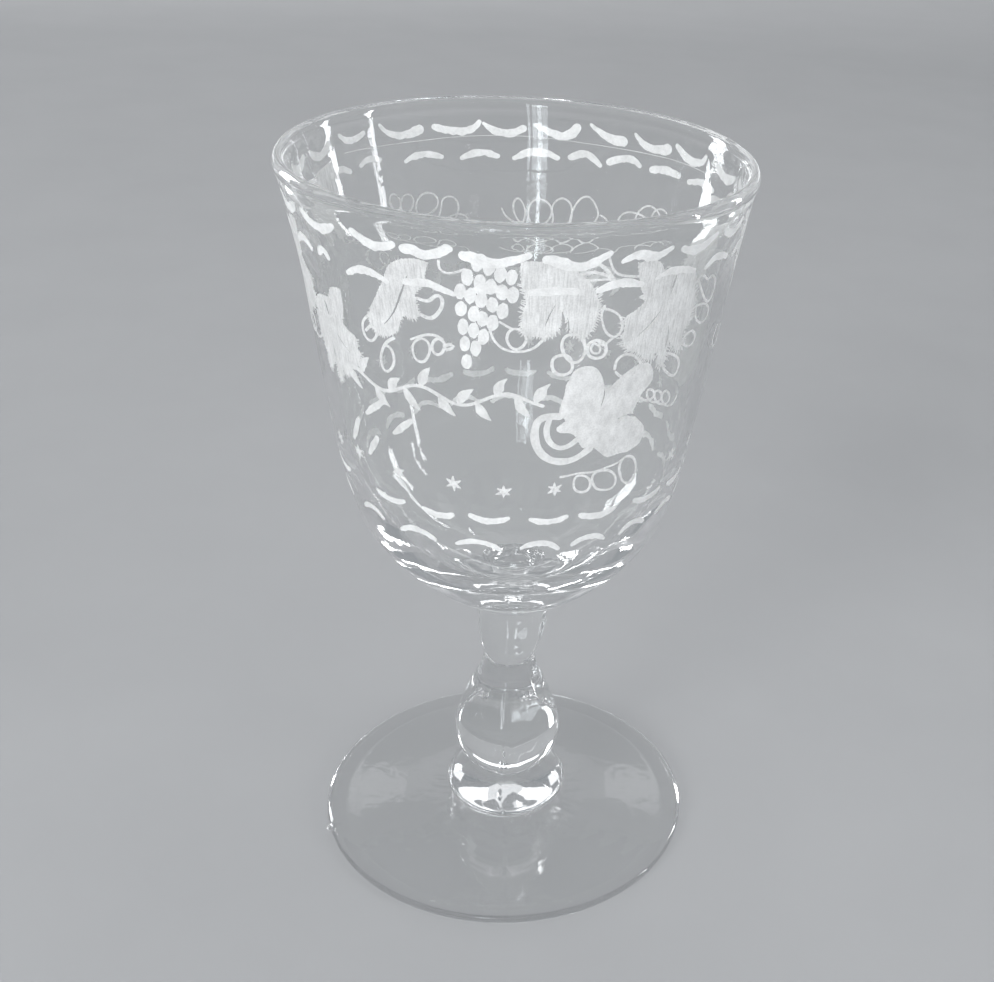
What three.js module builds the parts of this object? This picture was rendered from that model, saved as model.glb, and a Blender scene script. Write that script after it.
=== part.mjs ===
// Stemmed, engraved drinking glass (a goblet, or rummer), in millimetres.
// +Z is up. The origin is the centre of the ring that the foot rests on.
//
// The glass is built up hot from five gathers of clear glass:
//   bowl           blown, open at the top, with a thick base and a fire-polished lip
//   stem_neck      waisted neck that carries the bowl
//   stem_knop      solid ball knop with a sloping shoulder
//   basal_collar   rounded ring (merese) between the knop and the foot
//   foot           wide, slightly domed disc, hollowed underneath
// Neighbouring gathers meet on flat, round, horizontal faces, which is where the hot
// pieces were stuck together.

import * as THREE from 'three';

// ---------------------------------------------------------------- driving dimensions
const HEIGHT = 145.0;          // table to lip
const LIP_RADIUS = 42.57;      // outside of the fire-polished lip
const LIP_INNER_RADIUS = 40.3; // inside of the lip
const FOOT_RADIUS = 38.6;      // widest part of the foot
const REST_OUTER_RADIUS = 37.2; // flat ring that touches the table, outer edge
const REST_INNER_RADIUS = 34.4; // flat ring that touches the table, inner edge
const FOOT_HOLLOW = 1.3;       // rise of the foot's underside at its centre

const FOOT_TOP_Z = 4.3;        // foot to collar joint
const COLLAR_TOP_Z = 12.4;     // collar to knop joint
const KNOP_TOP_Z = 32.0;       // knop to neck joint
const NECK_TOP_Z = 53.0;       // neck to bowl joint

const FOOT_JOINT_RADIUS = 10.8;
const COLLAR_RADIUS = 12.6;    // widest part of the collar
const COLLAR_JOINT_RADIUS = 6.9;
const KNOP_RADIUS = 11.05;     // widest part of the ball
const SHOULDER_RADIUS = 7.8;   // knop to neck joint
const WAIST_RADIUS = 5.4;      // thinnest part of the stem
const NECK_TOP_RADIUS = 7.5;   // neck to bowl joint

const BOWL_FLOOR_Z = 61.8;     // inside bottom of the bowl

const SEGMENTS = 60;           // facets around the axis, the same on every piece

// ---------------------------------------------------------------- profiles, [radius, height]
const footProfile = [
  [0, FOOT_HOLLOW],
  [10, 1.2],
  [20, 0.86],
  [28, 0.42],
  [32.6, 0.12],
  [REST_INNER_RADIUS, 0],
  [REST_OUTER_RADIUS, 0],
  [38.0, 0.35],
  [38.45, 0.85],
  [FOOT_RADIUS, 1.5],
  [38.35, 2.1],
  [37.6, 2.55],
  [36.0, 2.78],
  [30.0, 3.1],
  [22.0, 3.45],
  [16.0, 3.8],
  [12.6, 4.1],
  [FOOT_JOINT_RADIUS, FOOT_TOP_Z],
  [0, FOOT_TOP_Z],
];

const collarProfile = [
  [0, FOOT_TOP_Z],
  [FOOT_JOINT_RADIUS, FOOT_TOP_Z],
  [11.6, 4.75],
  [12.3, 5.7],
  [COLLAR_RADIUS, 7.1],
  [12.35, 8.5],
  [11.6, 9.9],
  [10.4, 11.1],
  [8.8, 11.95],
  [COLLAR_JOINT_RADIUS, COLLAR_TOP_Z],
  [0, COLLAR_TOP_Z],
];

const knopProfile = [
  [0, COLLAR_TOP_Z],
  [COLLAR_JOINT_RADIUS, COLLAR_TOP_Z],
  [8.3, 13.9],
  [9.55, 15.6],
  [10.5, 17.8],
  [10.95, 19.9],
  [KNOP_RADIUS, 21.6],
  [10.85, 23.5],
  [10.3, 25.5],
  [9.55, 27.6],
  [8.8, 29.6],
  [SHOULDER_RADIUS, KNOP_TOP_Z],
  [0, KNOP_TOP_Z],
];

const neckProfile = [
  [0, KNOP_TOP_Z],
  [SHOULDER_RADIUS, KNOP_TOP_Z],
  [7.2, 33.3],
  [6.35, 35.0],
  [5.7, 37.0],
  [WAIST_RADIUS, 39.2],
  [5.8, 41.2],
  [6.45, 43.6],
  [6.95, 46.4],
  [7.25, 49.4],
  [NECK_TOP_RADIUS, NECK_TOP_Z],
  [0, NECK_TOP_Z],
];

const bowlProfile = [
  // outside, from the joint up to the lip
  [0, NECK_TOP_Z],
  [NECK_TOP_RADIUS, NECK_TOP_Z],
  [9.7, 54.5],
  [12.6, 56.5],
  [16.2, 59.2],
  [20.2, 62.6],
  [24.1, 66.7],
  [27.6, 71.4],
  [30.2, 76.7],
  [31.9, 82.3],
  [33.7, 91.0],
  [35.45, 101.0],
  [36.75, 110.0],
  [37.95, 119.0],
  [39.3, 128.0],
  [40.55, 134.6],
  [41.55, 139.8],
  [42.2, 142.0],
  [LIP_RADIUS, 143.3],
  [42.35, 144.4],
  [41.5, HEIGHT],
  // over the lip and down the inside
  [40.7, 144.4],
  [LIP_INNER_RADIUS, 143.2],
  [39.9, 140.6],
  [38.75, 134.6],
  [37.3, 128.0],
  [35.9, 119.0],
  [34.65, 110.0],
  [33.25, 101.0],
  [31.5, 91.0],
  [29.2, 82.3],
  [26.4, 75.8],
  [22.9, 70.8],
  [18.6, 67.0],
  [13.8, 64.2],
  [8.6, 62.5],
  [0, BOWL_FLOOR_Z],
];

// ---------------------------------------------------------------- solid of revolution
// A closed lathe solid about the Z axis, with its faces turned outward.
function turned(profile) {
  const points = profile.map(([r, z]) => new THREE.Vector2(r, z));
  const geometry = new THREE.LatheGeometry(points, SEGMENTS);
  geometry.rotateX(Math.PI / 2);
  if (signedVolume(geometry) < 0) {
    const index = geometry.getIndex().array;
    for (let i = 0; i < index.length; i += 3) {
      const swap = index[i + 1];
      index[i + 1] = index[i + 2];
      index[i + 2] = swap;
    }
    geometry.computeVertexNormals();
  }
  return geometry;
}

function signedVolume(geometry) {
  const position = geometry.getAttribute('position');
  const index = geometry.getIndex().array;
  const a = new THREE.Vector3();
  const b = new THREE.Vector3();
  const c = new THREE.Vector3();
  let volume = 0;
  for (let i = 0; i < index.length; i += 3) {
    a.fromBufferAttribute(position, index[i]);
    b.fromBufferAttribute(position, index[i + 1]);
    c.fromBufferAttribute(position, index[i + 2]);
    volume += a.dot(b.cross(c)) / 6;
  }
  return volume;
}

function glass(color, roughness) {
  return new THREE.MeshStandardMaterial({
    color,
    roughness,
    metalness: 0,
    transparent: true,
    opacity: 0.35,
  });
}

function piece(name, profile, material) {
  const mesh = new THREE.Mesh(turned(profile), material);
  mesh.name = name;
  return mesh;
}

// ---------------------------------------------------------------- assembly
const goblet = new THREE.Group();
goblet.add(piece('foot', footProfile, glass(0xe9ecea, 0.06)));
goblet.add(piece('basal_collar', collarProfile, glass(0xe6e9e7, 0.04)));
goblet.add(piece('stem_knop', knopProfile, glass(0xe8ebe9, 0.03)));
goblet.add(piece('stem_neck', neckProfile, glass(0xe8ebe9, 0.03)));
goblet.add(piece('bowl', bowlProfile, glass(0xeceeec, 0.05)));

export default goblet;
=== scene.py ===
import math

import bpy
import numpy as np
from mathutils import Matrix, Vector
from mathutils.geometry import delaunay_2d_cdt


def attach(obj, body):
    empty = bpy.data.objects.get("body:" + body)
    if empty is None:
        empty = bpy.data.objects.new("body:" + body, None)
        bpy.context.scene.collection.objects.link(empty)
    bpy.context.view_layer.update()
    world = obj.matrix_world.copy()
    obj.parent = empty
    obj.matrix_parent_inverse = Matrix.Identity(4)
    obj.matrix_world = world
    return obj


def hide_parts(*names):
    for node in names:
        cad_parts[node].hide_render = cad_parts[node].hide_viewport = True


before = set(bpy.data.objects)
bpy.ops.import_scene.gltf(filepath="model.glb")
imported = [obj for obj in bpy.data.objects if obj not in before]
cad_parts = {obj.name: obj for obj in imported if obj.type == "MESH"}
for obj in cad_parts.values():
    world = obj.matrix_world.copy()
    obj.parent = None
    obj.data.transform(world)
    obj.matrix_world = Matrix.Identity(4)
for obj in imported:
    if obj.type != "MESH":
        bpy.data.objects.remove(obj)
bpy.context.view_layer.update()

MM = 0.001
scene = bpy.context.scene
coll = scene.collection


# ---------------------------------------------------------------- camera
def make_camera():
    data = bpy.data.cameras.new("camera")
    cam = bpy.data.objects.new("camera", data)
    coll.objects.link(cam)
    pitch, yaw, roll = 0.48373, 0.08428, 0.0616
    fwd = Vector(
        (
            math.sin(yaw) * math.cos(pitch),
            math.cos(yaw) * math.cos(pitch),
            -math.sin(pitch),
        )
    )
    right = Vector((math.cos(yaw), -math.sin(yaw), 0))
    up = right.cross(fwd)
    x = right * math.cos(roll) + up * math.sin(roll)
    y = up * math.cos(roll) - right * math.sin(roll)
    cam.matrix_world = Matrix(
        (
            (x.x, y.x, -fwd.x, 0.0),
            (x.y, y.y, -fwd.y, -0.25305),
            (x.z, y.z, -fwd.z, 0.21134),
            (0, 0, 0, 1),
        )
    )
    data.sensor_fit = "HORIZONTAL"
    data.sensor_width = 36
    data.lens = 1448.16 / 994 * 36
    data.shift_x = -(620 - 497) / 994
    data.shift_y = 0
    data.clip_start = 0.01
    data.clip_end = 50
    scene.camera = cam


make_camera()


# ---------------------------------------------------------------- small tools
def lerp_smooth(table, x, blur=1.2):
    """A soft curve through a table of (x, value) pairs."""
    t = np.array(table, float)
    grid = np.linspace(-5, 155, 801)
    v = np.interp(grid, t[:, 0], t[:, 1])
    n = int(4 * blur / 0.2)
    k = np.exp(-0.5 * (np.arange(-n, n + 1) * 0.2 / blur) ** 2)
    v = np.convolve(np.pad(v, n, mode="edge"), k / k.sum(), mode="valid")
    return np.interp(x, grid, v)


def cubic(t, y, at):
    """Natural cubic spline through (t, y), read at the places in at."""
    n = len(t)
    if n == 2:
        return np.interp(at, t, y)
    h = np.diff(t)
    a = np.zeros((n, n))
    b = np.zeros(n)
    a[0, 0] = a[-1, -1] = 1
    for i in range(1, n - 1):
        a[i, i - 1], a[i, i], a[i, i + 1] = h[i - 1], 2 * (h[i - 1] + h[i]), h[i]
        b[i] = 3 * ((y[i + 1] - y[i]) / h[i] - (y[i] - y[i - 1]) / h[i - 1])
    c = np.linalg.solve(a, b)
    i = np.clip(np.searchsorted(t, at) - 1, 0, n - 2)
    d = at - t[i]
    bb = (y[i + 1] - y[i]) / h[i] - h[i] * (2 * c[i] + c[i + 1]) / 3
    dd = (c[i + 1] - c[i]) / (3 * h[i])
    return y[i] + bb * d + c[i] * d**2 + dd * d**3


def smooth_curve(points, corners=(), step=0.9, turn=5.0, closed=False):
    """A smooth run of points through the given ones, finer where it bends, sharp at the indices in corners."""
    p = np.array(points, float)
    cuts = sorted({0, len(p) - 1, *corners})
    out = []
    for a, b in zip(cuts[:-1], cuts[1:]):
        q = p[a : b + 1]
        t = np.r_[0, np.cumsum(np.sqrt(np.linalg.norm(np.diff(q, axis=0), axis=1)))]
        tt = np.linspace(0, t[-1], 4000)
        c = np.stack([cubic(t, q[:, k], tt) for k in range(2)], 1)
        d = np.diff(c, axis=0)
        s = np.linalg.norm(d, axis=1)
        ang = np.unwrap(np.arctan2(d[:, 1], d[:, 0]))
        bend = np.abs(np.diff(ang, append=ang[-1]))
        cost = np.r_[0, np.cumsum(s / step + np.degrees(bend) / turn)]
        n = max(2, int(math.ceil(cost[-1])) + 1)
        at = np.interp(np.linspace(0, cost[-1], n), cost, tt)
        seg = np.stack([np.interp(at, tt, c[:, k]) for k in range(2)], 1)
        out.append(seg if not out else seg[1:])
    return np.concatenate(out)


def link(name, mesh):
    o = bpy.data.objects.new(name, mesh)
    coll.objects.link(o)
    return o


# ---------------------------------------------------------------- the hand-made shape
# Profiles in mm, as in the CAD model: (radius, height)
FOOT = [(0, 1.3), (10, 1.2), (20, 0.86), (28, 0.42), (32.6, 0.12), (34.4, 0), (37.2, 0), (38, 0.35), (38.45, 0.85), (38.6, 1.5), (38.35, 2.1), (37.6, 2.55), (36, 2.78), (30, 3.1), (22, 3.45), (16, 3.8), (12.6, 4.1), (10.8, 4.3)]
COLLAR = [(10.8, 4.3), (11.6, 4.75), (12.3, 5.7), (12.6, 7.1), (12.35, 8.5), (11.6, 9.9), (10.4, 11.1), (8.8, 11.95), (6.9, 12.4)]
KNOP = [(6.9, 12.4), (8.3, 13.9), (9.55, 15.6), (10.5, 17.8), (10.95, 19.9), (11.05, 21.6), (10.85, 23.5), (10.3, 25.5), (9.55, 27.6), (8.8, 29.6), (7.8, 32)]
NECK = [(7.8, 32), (7.2, 33.3), (6.35, 35), (5.7, 37), (5.4, 39.2), (5.8, 41.2), (6.45, 43.6), (6.95, 46.4), (7.25, 49.4), (7.5, 53)]
BOWL_OUT = [(7.5, 53), (9.7, 54.5), (12.6, 56.5), (16.2, 59.2), (20.2, 62.6), (24.1, 66.7), (27.6, 71.4), (30.2, 76.7), (31.9, 82.3), (33.7, 91), (35.45, 101), (36.75, 110), (37.95, 119), (39.3, 128), (40.55, 134.6), (41.55, 139.8), (42.2, 142), (42.57, 143.3), (42.35, 144.4), (41.5, 145)]
BOWL_IN = [(40.7, 144.4), (40.3, 143.2), (39.9, 140.6), (38.75, 134.6), (37.3, 128), (35.9, 119), (34.65, 110), (33.25, 101), (31.5, 91), (29.2, 82.3), (26.4, 75.8), (22.9, 70.8), (18.6, 67), (13.8, 64.2), (8.6, 62.5), (0, 61.8)]

# The stem was set on by eye, so it stands a little off the axis under the bowl.
LEAN = [(0, 0), (4, 0.15), (12, 0.1), (36, 0.1), (45, 0.5), (50, 0.75), (58, 0.7), (66, 0.5), (72, 0.2), (95, 0.1), (115, 0.25), (124, 0.35), (132, 0.2), (145, 0)]
# Where the mould seam runs, in degrees from the front, and how high it stands, in mm.
SEAM_AT = [(0, 0.3), (4.2, 0.3), (5.5, -1.4), (8, -1.8), (10, -5.5), (12.4, -6.0), (14.5, -2.8), (21, -2.4), (32, -3.6), (42, -4.4), (50, -4.9), (56, -4.0), (64, -2.5), (80, -2)]
SEAM_HIGH = [(0, 0.0), (1.2, 0.1), (2.2, 0.16), (4.2, 0.14), (5, 0.03), (7, 0.03), (8.4, 0.12), (11, 0.22), (13, 0.16), (18, 0.16), (21, 0.12), (24, 0.03), (30, 0.05), (40, 0.1), (44, 0.15), (52, 0.14), (58, 0.16), (63, 0.05), (67, 0)]
# Small beads of glass left on the edge of the foot: degrees, height, how far out, how wide
NIBS = [(-72.5, 1.9, 0.95, 0.62), (111.5, 1.2, 0.4, 0.55)]
# Thicker places on the front seam: height on the wall, or radius on the foot, with size
SEAM_DROPS = [(46.6, 0.16, 0.45), (45.0, 0.18, 0.35), (40.9, 0.14, 0.5), (51.0, 0.12, 0.8), (19.8, 0.22, 1.6), (16.4, 0.25, 1.5), (13.6, 0.15, 0.9), (10.6, 0.34, 0.8)]
FOOT_DROPS = [(11.8, 0.12, 0.8), (19.0, 0.24, 1.1), (24.5, 0.06, 2.0), (31.2, 0.22, 0.9)]
SEAM_WIDE = [(0, 0.3), (4.3, 0.3), (7.5, 0.42), (10, 0.55), (12.4, 0.5), (14, 0.62), (18, 0.6), (21, 0.3), (38, 0.24), (67, 0.24)]

rng = np.random.default_rng(71)
_bead = rng.uniform(0.15, 1.55, 400)
WAVES = [(a, b, rng.uniform(0, 6.28), w) for a, b, w in [(5, 0.11, 0.018), (7, -0.17, 0.014), (4, 0.23, 0.014), (9, 0.07, 0.010), (11, 0.31, 0.007), (13, -0.26, 0.006), (6, 0.41, 0.007), (17, 0.13, 0.0035), (21, -0.35, 0.0028), (3, 0.62, 0.004), (26, 0.22, 0.002)]]


def seam_angle(z):
    return lerp_smooth(SEAM_AT, z, 0.5)


def offsets(th, r, z, run):
    """(radial, upward) shift in mm of a point of the true circle shape: th in radians from the front towards +X, run the length along the profile."""
    soft = np.clip(r / 12, 0, 1) * np.clip((z - 3) / 20, 0.12, 1)
    d = 0.13 * np.sin(2 * th + 0.9) * np.clip(z / 145, 0, 1) ** 2 * np.clip(r / 30, 0, 1)
    d = d + 0.05 * np.sin(3 * th + 2.1 + z * 0.02) * soft
    for n, k, ph, w in WAVES:
        d = d + w * np.sin(n * th + k * z + ph) * soft
    # both mould seams, as a beaded ridge
    high = lerp_smooth(SEAM_HIGH, z, 0.4)
    bead = np.interp(run / 0.75, np.arange(400), _bead)
    centre = np.radians(seam_angle(z))
    up = np.zeros_like(d)
    wide = lerp_smooth(SEAM_WIDE, z, 0.5)
    flat = (z < 4.4) & (r < 37.4)
    drops = sum(h * np.exp(-(((z - q) / s) ** 2)) for q, h, s in SEAM_DROPS)
    drops = np.where(flat, sum(h * np.exp(-(((r - q) / s) ** 2)) for q, h, s in FOOT_DROPS), drops)
    for c, size in ((centre, 1.0), (centre + math.pi + 0.03, 0.6)):
        away = (th - c + math.pi) % (2 * math.pi) - math.pi
        ridge = (size * high * bead + size**3 * drops) * np.exp(-((away * np.maximum(r, 3) / wide) ** 2))
        up = up + np.where(flat & (z > 2.0), ridge * 0.8 * np.clip((r - 11) / 3, 0, 1), 0)
        d = d + np.where(flat, 0, ridge)
    # the drops on the edge of the foot
    for a, nz, size, w in NIBS:
        away = ((th - math.radians(a) + math.pi) % (2 * math.pi) - math.pi) * r
        d = d + np.where((r > 36) & (z < 5), size * np.exp(-((away / w) ** 2) - ((z - nz) / 0.75) ** 2), 0)
    # tooling marks where the collar was pressed on to the foot
    ring = np.where(z < 4.35, np.exp(-(((r - 14.2) / 2.3) ** 2)), 0) * (z > 2.0) * np.clip((r - 10.9) / 1.2, 0, 1)
    folds = np.sin(17 * th + 0.7 * np.sin(5 * th + 1)) * 0.5 + np.sin(29 * th + 2.2 * np.sin(3 * th)) * 0.35 + 0.3 * np.sin(43 * th + 1.3 * np.sin(7 * th))
    up = up + ring * (0.1 * folds * (0.65 + 0.35 * np.sin(2 * th + 0.6)))
    # faint turning rings on the upper face of the foot
    top = (z > 2.0) & (z < 4.35)
    up = up + np.where(top, 0.012 * np.sin(r * 1.35 + 0.4 * np.sin(3 * th)) * np.clip((r - 16) / 4, 0, 1) * np.clip((36.5 - r) / 3, 0, 1), 0)
    return d, up


def place(th, r, z, run):
    d, up = offsets(th, r, z, run)
    rr = r + d * np.clip(r / 2, 0, 1)
    dx = lerp_smooth(LEAN, z, 3.0)
    return np.stack([rr * np.sin(th) + dx, -rr * np.cos(th), z + up], -1)


def column_angles():
    base = list(np.radians(np.arange(0, 360, 1.25)))
    keep = []
    for b in base:
        deg = (math.degrees(b) + 180) % 360 - 180
        near_front = -7.6 < deg < 1.6
        near_back = deg > 180 - 5.6 or deg < -180 + 2.9
        near_nib = any(abs((deg - q[0] + 180) % 360 - 180) < 2.4 for q in NIBS)
        if not (near_front or near_back or near_nib):
            keep.append(math.radians(deg))
    keep += list(np.radians(np.arange(-7.5, 1.51, 0.36)))
    keep += list(np.radians(180 + np.arange(-5.5, 2.81, 0.5)))
    for q in NIBS:
        keep += list(np.radians(q[0] + np.arange(-2.2, 2.21, 0.27)))
    k = np.unique(np.round((np.array(keep) + 1e-9) % (2 * math.pi), 6))
    return k


TH = column_angles()
NC = len(TH)


def revolve(name, run_points, cap_start=False, cap_end=False):
    """A closed body of revolution with the hand-made offsets. A cap closes a face where the glass runs on into the next piece."""
    pts = np.array(run_points)
    length = np.r_[0, np.cumsum(np.linalg.norm(np.diff(pts, axis=0), axis=1))]
    verts, rows = [], []
    for (r, z), s in zip(pts, length):
        if r < 1e-6:
            rows.append([len(verts)])
            verts.append(tuple(place(np.array(0.0), np.array(0.0), np.array(z), np.array(s))))
        else:
            # beads of the seam are read by height, so that two pieces meet exactly
            co = place(TH, np.full(NC, r), np.full(NC, z), np.full(NC, z + (40 - r if z < 4.4 else 0)))
            rows.append(list(range(len(verts), len(verts) + NC)))
            verts += [tuple(c) for c in co]
    faces, sharp_rings, cap_faces = [], [], 0

    def join(a, b):
        if len(a) == 1:
            return [(a[0], b[(i + 1) % NC], b[i]) for i in range(NC)]
        if len(b) == 1:
            return [(a[i], a[(i + 1) % NC], b[0]) for i in range(NC)]
        return [(a[i], a[(i + 1) % NC], b[(i + 1) % NC], b[i]) for i in range(NC)]

    for a, b in zip(rows[:-1], rows[1:]):
        faces += join(a, b)
    wall = len(faces)
    for use, ring, at_start in ((cap_start, rows[0], True), (cap_end, rows[-1], False)):
        if not use:
            continue
        sharp_rings.append(ring)
        co = np.array([verts[i] for i in ring])
        mid = co.mean(0)
        prev = ring
        for f in (0.72, 0.4, 0):
            if f:
                new = list(range(len(verts), len(verts) + NC))
                verts += [tuple(c) for c in mid + (co - mid) * f]
            else:
                new = [len(verts)]
                verts.append(tuple(mid))
            faces += join(new, prev) if at_start else join(prev, new)
            prev = new
    cap_faces = len(faces) - wall
    me = bpy.data.meshes.new(name)
    me.from_pydata([tuple(c * MM for c in v) for v in verts], [], faces)
    me.polygons.foreach_set("use_smooth", [True] * len(faces))
    idx = np.zeros(len(faces), np.int32)
    if cap_faces:
        idx[wall:] = 1
    me.polygons.foreach_set("material_index", idx)
    if sharp_rings:
        edges = {tuple(sorted((ring[i], ring[(i + 1) % NC]))) for ring in sharp_rings for i in range(NC)}
        keys = np.zeros(len(me.edges) * 2, np.int32)
        me.edges.foreach_get("vertices", keys)
        keys = keys.reshape(-1, 2)
        att = me.attributes.new("sharp_edge", "BOOLEAN", "EDGE")
        att.data.foreach_set("value", [tuple(sorted(k)) in edges for k in keys.tolist()])
    me.validate()
    return link(name, me)


# ---------------------------------------------------------------- materials
def new_material(name):
    m = bpy.data.materials.new(name)
    m.use_nodes = True
    m.node_tree.nodes.clear()
    return m, m.node_tree.nodes, m.node_tree.links


def node(nodes, kind, **values):
    n = nodes.new(kind)
    for k, v in values.items():
        if hasattr(n, k) and k not in n.inputs:
            setattr(n, k, v)
        else:
            n.inputs[k].default_value = v
    return n


def mm_coords(nodes, links, stretch=(1, 1, 1)):
    """Object coordinates in millimetres."""
    tc = nodes.new("ShaderNodeTexCoord")
    mp = nodes.new("ShaderNodeMapping")
    mp.inputs["Scale"].default_value = [1000 * s for s in stretch]
    links.new(tc.outputs["Object"], mp.inputs["Vector"])
    return mp.outputs["Vector"]


def math_node(nodes, links, op, a, b=None, clamp=False):
    n = nodes.new("ShaderNodeMath")
    n.operation = op
    n.use_clamp = clamp
    for i, v in enumerate((a, b)):
        if v is None:
            continue
        if isinstance(v, (int, float)):
            n.inputs[i].default_value = v
        else:
            links.new(v, n.inputs[i])
    return n.outputs[0]


def ramp(nodes, links, fac, stops):
    n = nodes.new("ShaderNodeValToRGB")
    e = n.color_ramp.elements
    while len(e) < len(stops):
        e.new(0.5)
    for i, (p, v) in enumerate(stops):
        e[i].position = p
        e[i].color = (v, v, v, 1) if isinstance(v, (int, float)) else (*v, 1)
    links.new(fac, n.inputs["Fac"])
    return n.outputs["Color"]


def noise(nodes, links, vec, scale, detail=3, rough=0.5, distortion=0.0):
    n = nodes.new("ShaderNodeTexNoise")
    n.inputs["Scale"].default_value = scale
    n.inputs["Detail"].default_value = detail
    n.inputs["Roughness"].default_value = rough
    n.inputs["Distortion"].default_value = distortion
    links.new(vec, n.inputs["Vector"])
    return n.outputs["Fac"]


def glass(name, tint, ripple=1.0, smear=1.0, wear=False, shadow=0.9):
    """Old clear glass: faint striae and tool ripples, a film of handling smears, and scratches where it has stood."""
    m, nodes, links = new_material(name)
    out = nodes.new("ShaderNodeOutputMaterial")
    p = nodes.new("ShaderNodeBsdfPrincipled")
    p.inputs["Transmission Weight"].default_value = 1
    p.inputs["IOR"].default_value = 1.5
    p.inputs["Base Color"].default_value = (*tint, 1)
    v = mm_coords(nodes, links)
    # handling smears: soft patches of slightly rougher surface
    big = noise(nodes, links, v, 0.09, 4, 0.6, 0.6)
    streak = noise(nodes, links, mm_coords(nodes, links, (1, 1, 0.28)), 0.55, 3, 0.55)
    patch = ramp(nodes, links, big, [(0.46, 0.0), (0.72, 1.0)])
    rough = math_node(nodes, links, "MULTIPLY", patch, streak)
    rough = math_node(nodes, links, "MULTIPLY", rough, 0.075 * smear)
    if wear:
        # the ring that stands on the table is scuffed
        sep = nodes.new("ShaderNodeSeparateXYZ")
        links.new(v, sep.inputs[0])
        low = math_node(nodes, links, "LESS_THAN", sep.outputs["Z"], 0.035)
        scuff = ramp(nodes, links, noise(nodes, links, v, 0.9, 7, 0.8), [(0.5, 0.0), (0.66, 1.0)])
        scuff = math_node(nodes, links, "MULTIPLY", scuff, low)
        scuff = math_node(nodes, links, "MULTIPLY", scuff, 0.16)
        rough = math_node(nodes, links, "ADD", rough, scuff)
    links.new(rough, p.inputs["Roughness"])
    # striae drawn out along the height, and fine ripples
    cords = noise(nodes, links, mm_coords(nodes, links, (1, 1, 0.16)), 0.16, 2, 0.5, 0.4)
    fine = noise(nodes, links, v, 0.42, 3, 0.5, 0.3)
    h = math_node(nodes, links, "MULTIPLY", cords, 1.0)
    h2 = math_node(nodes, links, "MULTIPLY", fine, 0.22)
    h = math_node(nodes, links, "ADD", h, h2)
    b = nodes.new("ShaderNodeBump")
    b.inputs["Strength"].default_value = 1.0
    b.inputs["Distance"].default_value = 0.00003 * ripple
    links.new(h, b.inputs["Height"])
    links.new(b.outputs["Normal"], p.inputs["Normal"])
    # lamps shine through it, a little less where the wall is seen edge-on
    lp = nodes.new("ShaderNodeLightPath")
    tr = nodes.new("ShaderNodeBsdfTransparent")
    face = nodes.new("ShaderNodeLayerWeight")
    face.inputs["Blend"].default_value = 0.35
    pass_col = ramp(nodes, links, face.outputs["Facing"], [(0.0, shadow), (0.6, shadow * 0.93), (1.0, 0.45)])
    links.new(pass_col, tr.inputs["Color"])
    # light that has been bouncing about inside the thick parts for long leaves them, instead of being lost
    old = math_node(nodes, links, "GREATER_THAN", lp.outputs["Ray Depth"], 9.5)
    old = math_node(nodes, links, "MAXIMUM", old, lp.outputs["Is Diffuse Ray"])
    way_out = nodes.new("ShaderNodeBsdfTransparent")
    first = nodes.new("ShaderNodeMixShader")
    links.new(old, first.inputs[0])
    links.new(p.outputs[0], first.inputs[1])
    links.new(way_out.outputs[0], first.inputs[2])
    mix = nodes.new("ShaderNodeMixShader")
    links.new(lp.outputs["Is Shadow Ray"], mix.inputs[0])
    links.new(first.outputs[0], mix.inputs[1])
    links.new(tr.outputs[0], mix.inputs[2])
    links.new(mix.outputs[0], out.inputs["Surface"])
    return m


def joint_material():
    """The faces where one gather of glass runs into the next: nothing is seen there."""
    m, nodes, links = new_material("fused_face")
    out = nodes.new("ShaderNodeOutputMaterial")
    tr = nodes.new("ShaderNodeBsdfTransparent")
    links.new(tr.outputs[0], out.inputs["Surface"])
    return m


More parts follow.
